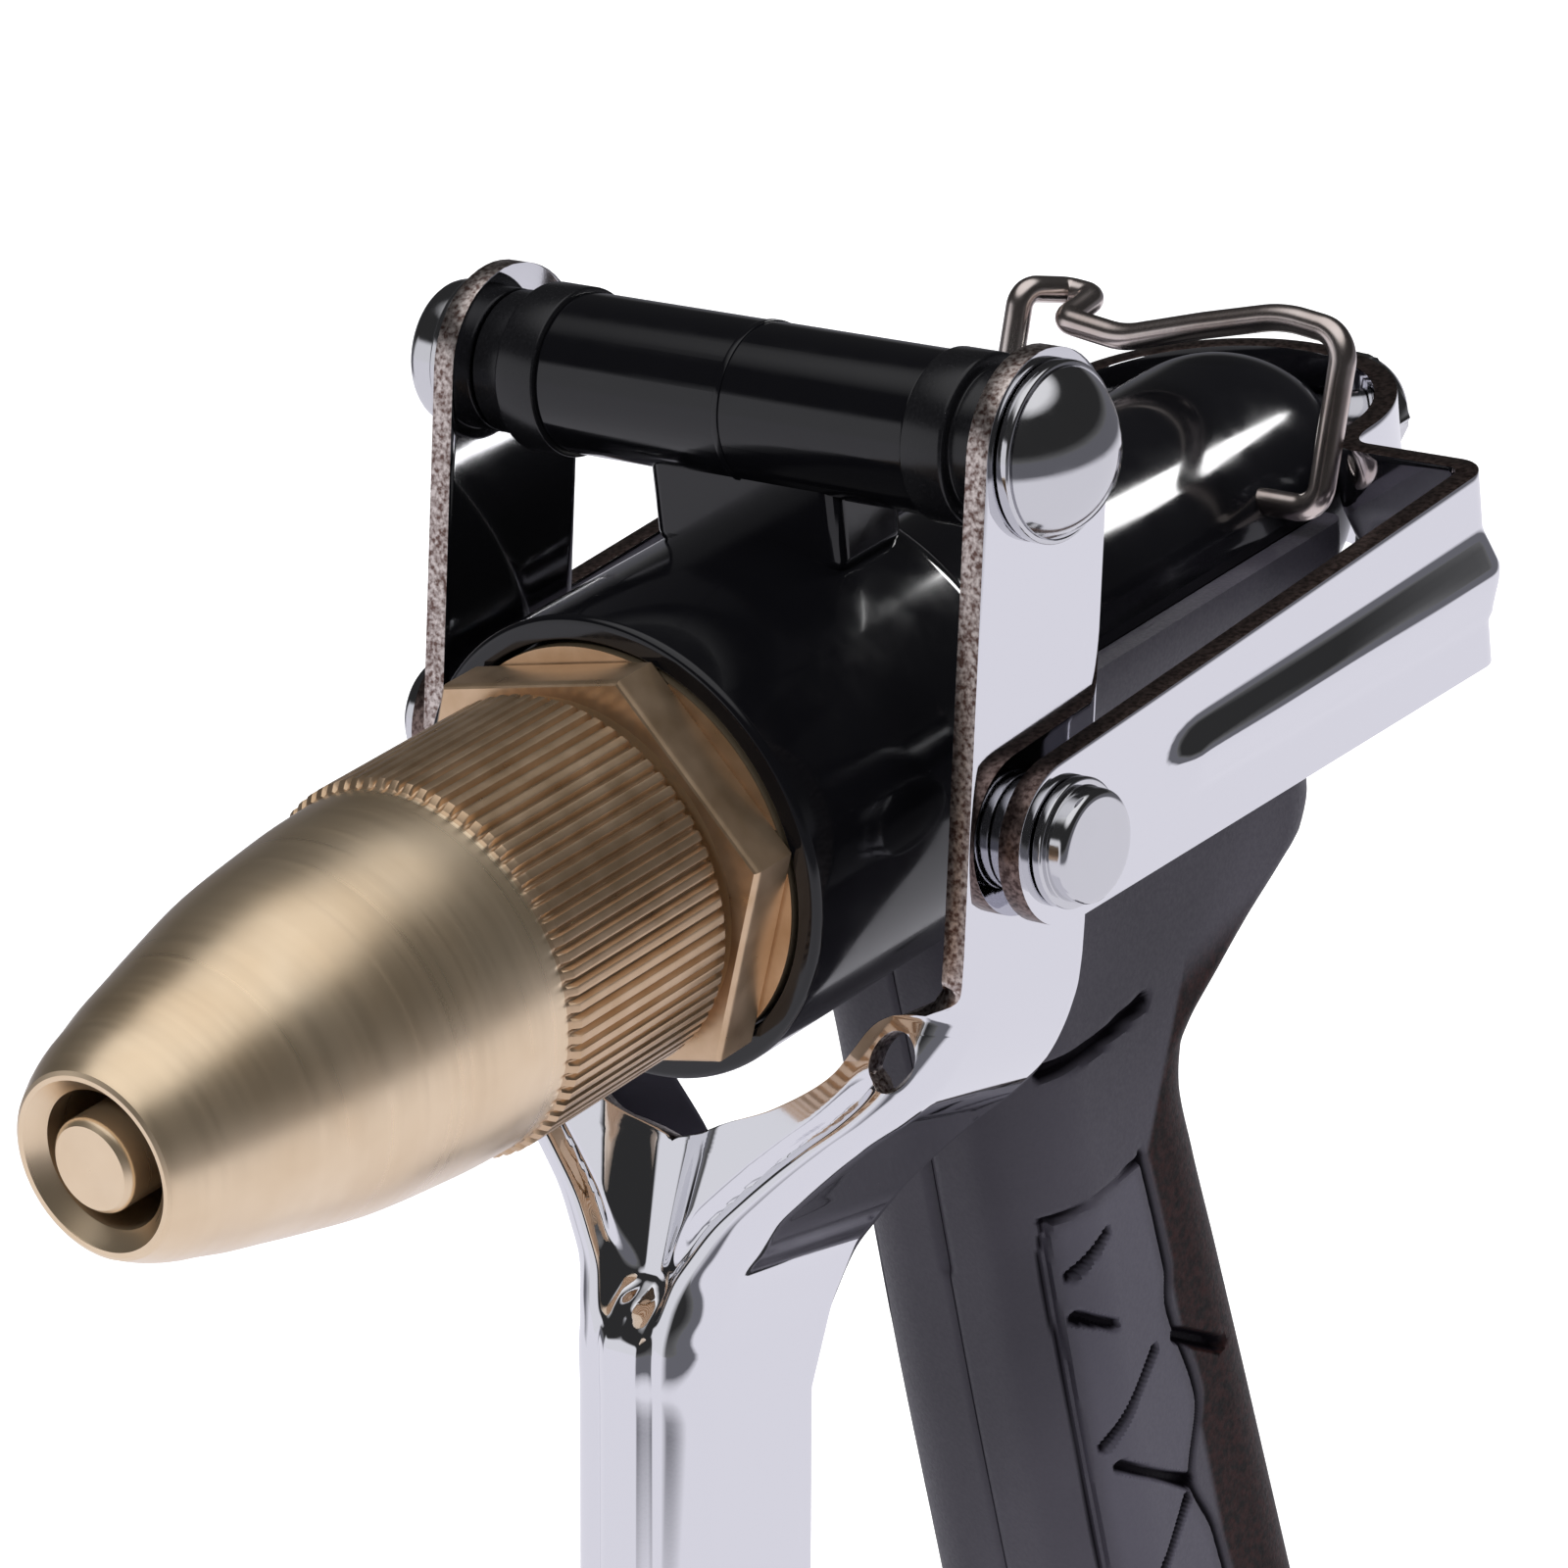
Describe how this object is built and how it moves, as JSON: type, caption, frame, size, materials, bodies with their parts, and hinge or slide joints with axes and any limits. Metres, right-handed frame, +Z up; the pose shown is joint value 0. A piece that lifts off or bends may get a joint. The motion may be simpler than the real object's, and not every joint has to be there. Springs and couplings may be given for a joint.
{
  "type": "hose spray nozzle",
  "caption": "Pistol-grip garden hose spray nozzle with twist-adjusted brass tip, chromed squeeze trigger, rear yoke to the valve stem and wire hold-open bail.",
  "frame": {"origin": "centre of the mouth of the hose inlet at the bottom of the grip", "axes": "+Z up, -Y the way the water leaves along the barrel axis, +X the side with the domed pivot head"},
  "size_m": [0.0512, 0.1305, 0.1473],
  "materials": {
    "black_coating": "glossy black coating over die-cast metal",
    "brass": "turned brass, fine circular tool marks, satin",
    "chrome": "mirror chrome on stamped steel",
    "zinc": "bright zinc-plated steel",
    "wire": "nickel-plated spring wire",
    "grip": "matte textured moulded plastic",
    "bush_black": "black acetal",
    "inlet_black": "black moulded plastic",
    "rubber": "black nitrile rubber",
    "spring_steel": "stainless spring wire"
  },
  "bodies": {
    "frame": {"barrel_body": "black_coating", "nozzle_core": "brass", "core_gasket": "rubber", "stem_gland": "brass", "gland_o_ring": "rubber", "trigger_pivot_pin": "zinc", "pivot_end_cap": "zinc", "pivot_washers": "zinc", "pivot_bushings": "bush_black", "handle_right": "grip", "handle_left": "grip", "handle_screws": "zinc", "inlet_pipe": "brass", "pipe_o_rings": "rubber", "inlet_adapter": "inlet_black", "inlet_washer": "rubber"},
    "sleeve_seal": {"sleeve_o_ring": "rubber"},
    "sleeve": {"spray_sleeve": "brass"},
    "trigger": {"trigger": "chrome", "yoke_pins": "zinc", "yoke_spacers": "zinc"},
    "yoke": {"yoke": "chrome"},
    "valve": {"valve_stem": "zinc", "valve_plug": "rubber", "stem_washer": "zinc", "stem_nut": "zinc", "return_spring": "spring_steel"},
    "bail": {"hold_open_bail": "wire"}
  },
  "joints": [
    {"name": "trigger_pivot", "type": "hinge", "parent": "frame", "child": "trigger", "pos_m": [0, -0.03146, 0.13875], "axis": [1, 0, 0], "range_deg": [0, 13]},
    {"name": "yoke_pivot", "type": "hinge", "parent": "trigger", "child": "yoke", "pos_m": [0, -0.03606, 0.11595], "axis": [1, 0, 0], "range_deg": [-13, 0.5]},
    {"name": "valve_slide", "type": "slide", "parent": "frame", "child": "valve", "axis": [0, 1, 0], "range_m": [0, 0.0054], "deforming": ["return_spring"]},
    {"name": "sleeve_travel", "type": "slide", "parent": "frame", "child": "sleeve_seal", "axis": [0, -1, 0], "range_m": [-0.00075, 0.00375]},
    {"name": "sleeve_turn", "type": "hinge", "parent": "sleeve_seal", "child": "sleeve", "pos_m": [0, -0.07696, 0.11655], "axis": [0, -1, 0], "range_deg": [-180, 900]},
    {"name": "bail_pivot", "type": "hinge", "parent": "frame", "child": "bail", "pos_m": [0, 0.00734, 0.11955], "axis": [1, 0, 0], "range_deg": [-2, 68]}
  ],
  "couplings": [
    {"joint": "yoke_pivot", "follows": "trigger_pivot", "ratio": -0.9675},
    {"joint": "valve_slide", "follows": "trigger_pivot", "m_per_rad": 0.023139},
    {"joint": "sleeve_turn", "follows": "sleeve_travel", "rad_per_m": 4188.8}
  ]
}
